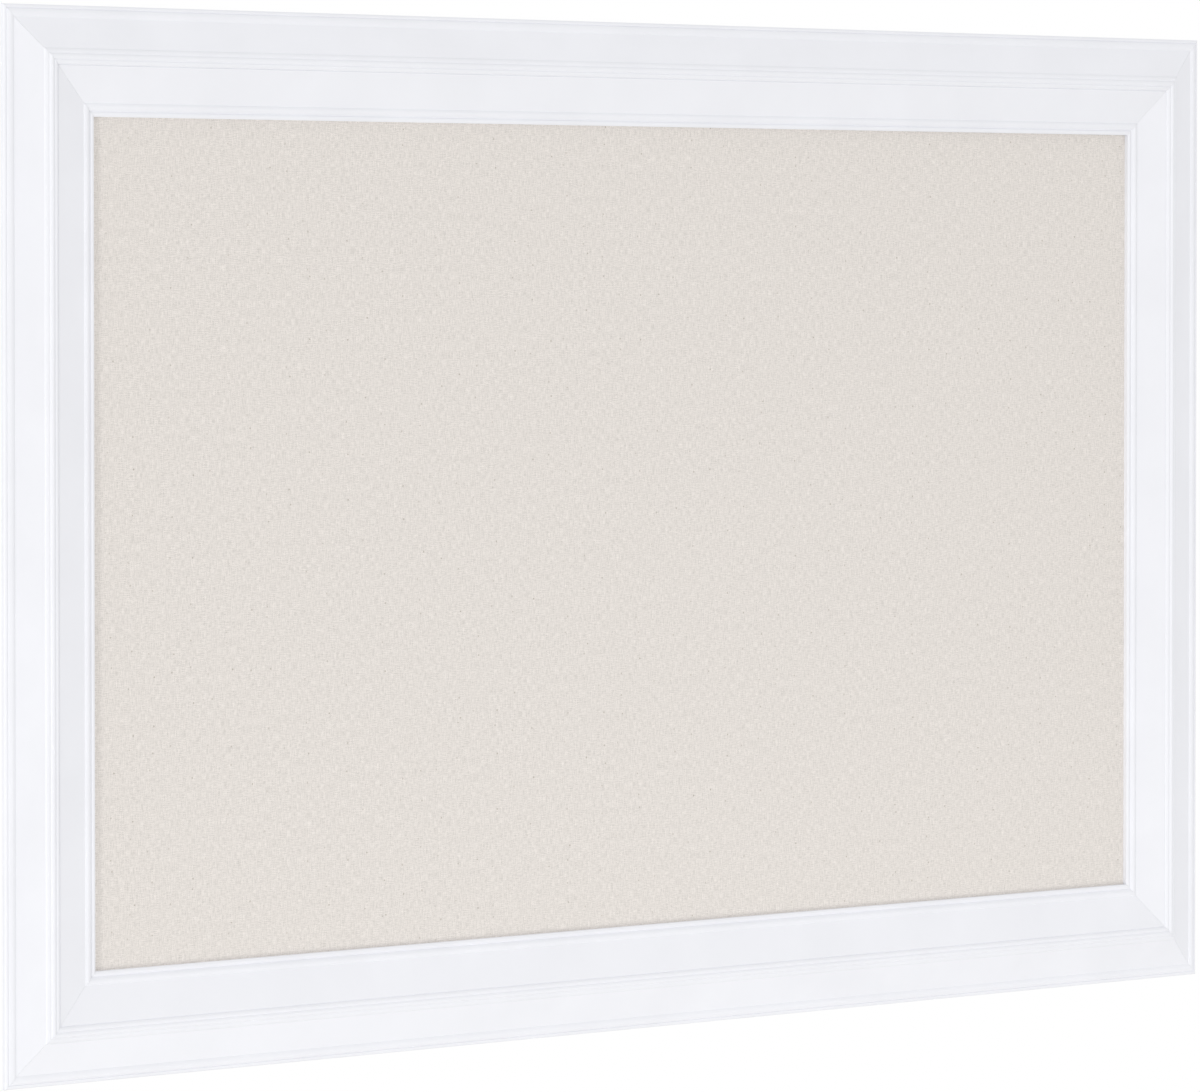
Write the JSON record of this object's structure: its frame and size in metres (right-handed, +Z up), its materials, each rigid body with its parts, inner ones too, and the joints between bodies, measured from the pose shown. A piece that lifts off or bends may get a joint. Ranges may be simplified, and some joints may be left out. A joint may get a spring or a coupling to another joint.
{
  "type": "pin board",
  "caption": "Framed linen pin board: mitred stepped moulding round a fabric-covered pinning core, with a backing board, swinging D-ring hangers and wall bumpers.",
  "frame": {"origin": "middle of the board, on the plane of the wall that its bumpers touch", "axes": "+X to the right along the board as seen from the front, +Z up, -Y out of the wall towards the viewer"},
  "size_m": [1.143, 0.03, 0.743],
  "materials": {
    "painted_rail": "satin white paint over primed wood",
    "linen": "plain-woven oatmeal linen",
    "core": "soft fibreboard",
    "backing": "hardboard, smooth side out",
    "nail_steel": "blued spring steel",
    "zinc_steel": "bright zinc plate",
    "bumper_rubber": "moulded translucent rubber"
  },
  "bodies": {
    "board": {"rail_top": "painted_rail", "rail_right": "painted_rail", "rail_bottom": "painted_rail", "rail_left": "painted_rail", "linen_cover": "linen", "pin_core": "core", "backing_board": "backing", "corner_nail_top_right_1": "nail_steel", "corner_nail_top_right_2": "nail_steel", "corner_nail_bottom_right_1": "nail_steel", "corner_nail_bottom_right_2": "nail_steel", "corner_nail_bottom_left_1": "nail_steel", "corner_nail_bottom_left_2": "nail_steel", "corner_nail_top_left_1": "nail_steel", "corner_nail_top_left_2": "nail_steel", "framers_point_top_1": "nail_steel", "framers_point_top_2": "nail_steel", "framers_point_top_3": "nail_steel", "framers_point_top_4": "nail_steel", "framers_point_top_5": "nail_steel", "framers_point_right_1": "nail_steel", "framers_point_right_2": "nail_steel", "framers_point_right_3": "nail_steel", "framers_point_bottom_1": "nail_steel", "framers_point_bottom_2": "nail_steel", "framers_point_bottom_3": "nail_steel", "framers_point_bottom_4": "nail_steel", "framers_point_bottom_5": "nail_steel", "framers_point_left_1": "nail_steel", "framers_point_left_2": "nail_steel", "framers_point_left_3": "nail_steel", "hanger_strap_left": "zinc_steel", "hanger_screw_left_1": "zinc_steel", "hanger_screw_left_2": "zinc_steel", "hanger_strap_right": "zinc_steel", "hanger_screw_right_1": "zinc_steel", "hanger_screw_right_2": "zinc_steel", "hanger_strap_top": "zinc_steel", "hanger_screw_top_1": "zinc_steel", "hanger_screw_top_2": "zinc_steel", "hanger_strap_bottom": "zinc_steel", "hanger_screw_bottom_1": "zinc_steel", "hanger_screw_bottom_2": "zinc_steel", "wall_bumper_top_left": "bumper_rubber", "wall_bumper_bottom_left": "bumper_rubber", "wall_bumper_top_right": "bumper_rubber", "wall_bumper_bottom_right": "bumper_rubber"},
    "ring_left": {"d_ring_left": "zinc_steel"},
    "ring_right": {"d_ring_right": "zinc_steel"},
    "ring_top": {"d_ring_top": "zinc_steel"},
    "ring_bottom": {"d_ring_bottom": "zinc_steel"}
  },
  "joints": [
    {"name": "ring_left_swing", "type": "hinge", "parent": "board", "child": "ring_left", "pos_m": [-0.5319, -0.00285, 0.1815], "axis": [-1, 0, 0], "range_deg": [0, 175]},
    {"name": "ring_right_swing", "type": "hinge", "parent": "board", "child": "ring_right", "pos_m": [0.5319, -0.00285, 0.1815], "axis": [-1, 0, 0], "range_deg": [0, 175]},
    {"name": "ring_top_swing", "type": "hinge", "parent": "board", "child": "ring_top", "pos_m": [-0.2815, -0.00285, 0.3319], "axis": [0, 0, -1], "range_deg": [0, 175]},
    {"name": "ring_bottom_swing", "type": "hinge", "parent": "board", "child": "ring_bottom", "pos_m": [-0.2815, -0.00285, -0.3319], "axis": [0, 0, -1], "range_deg": [0, 175]}
  ]
}
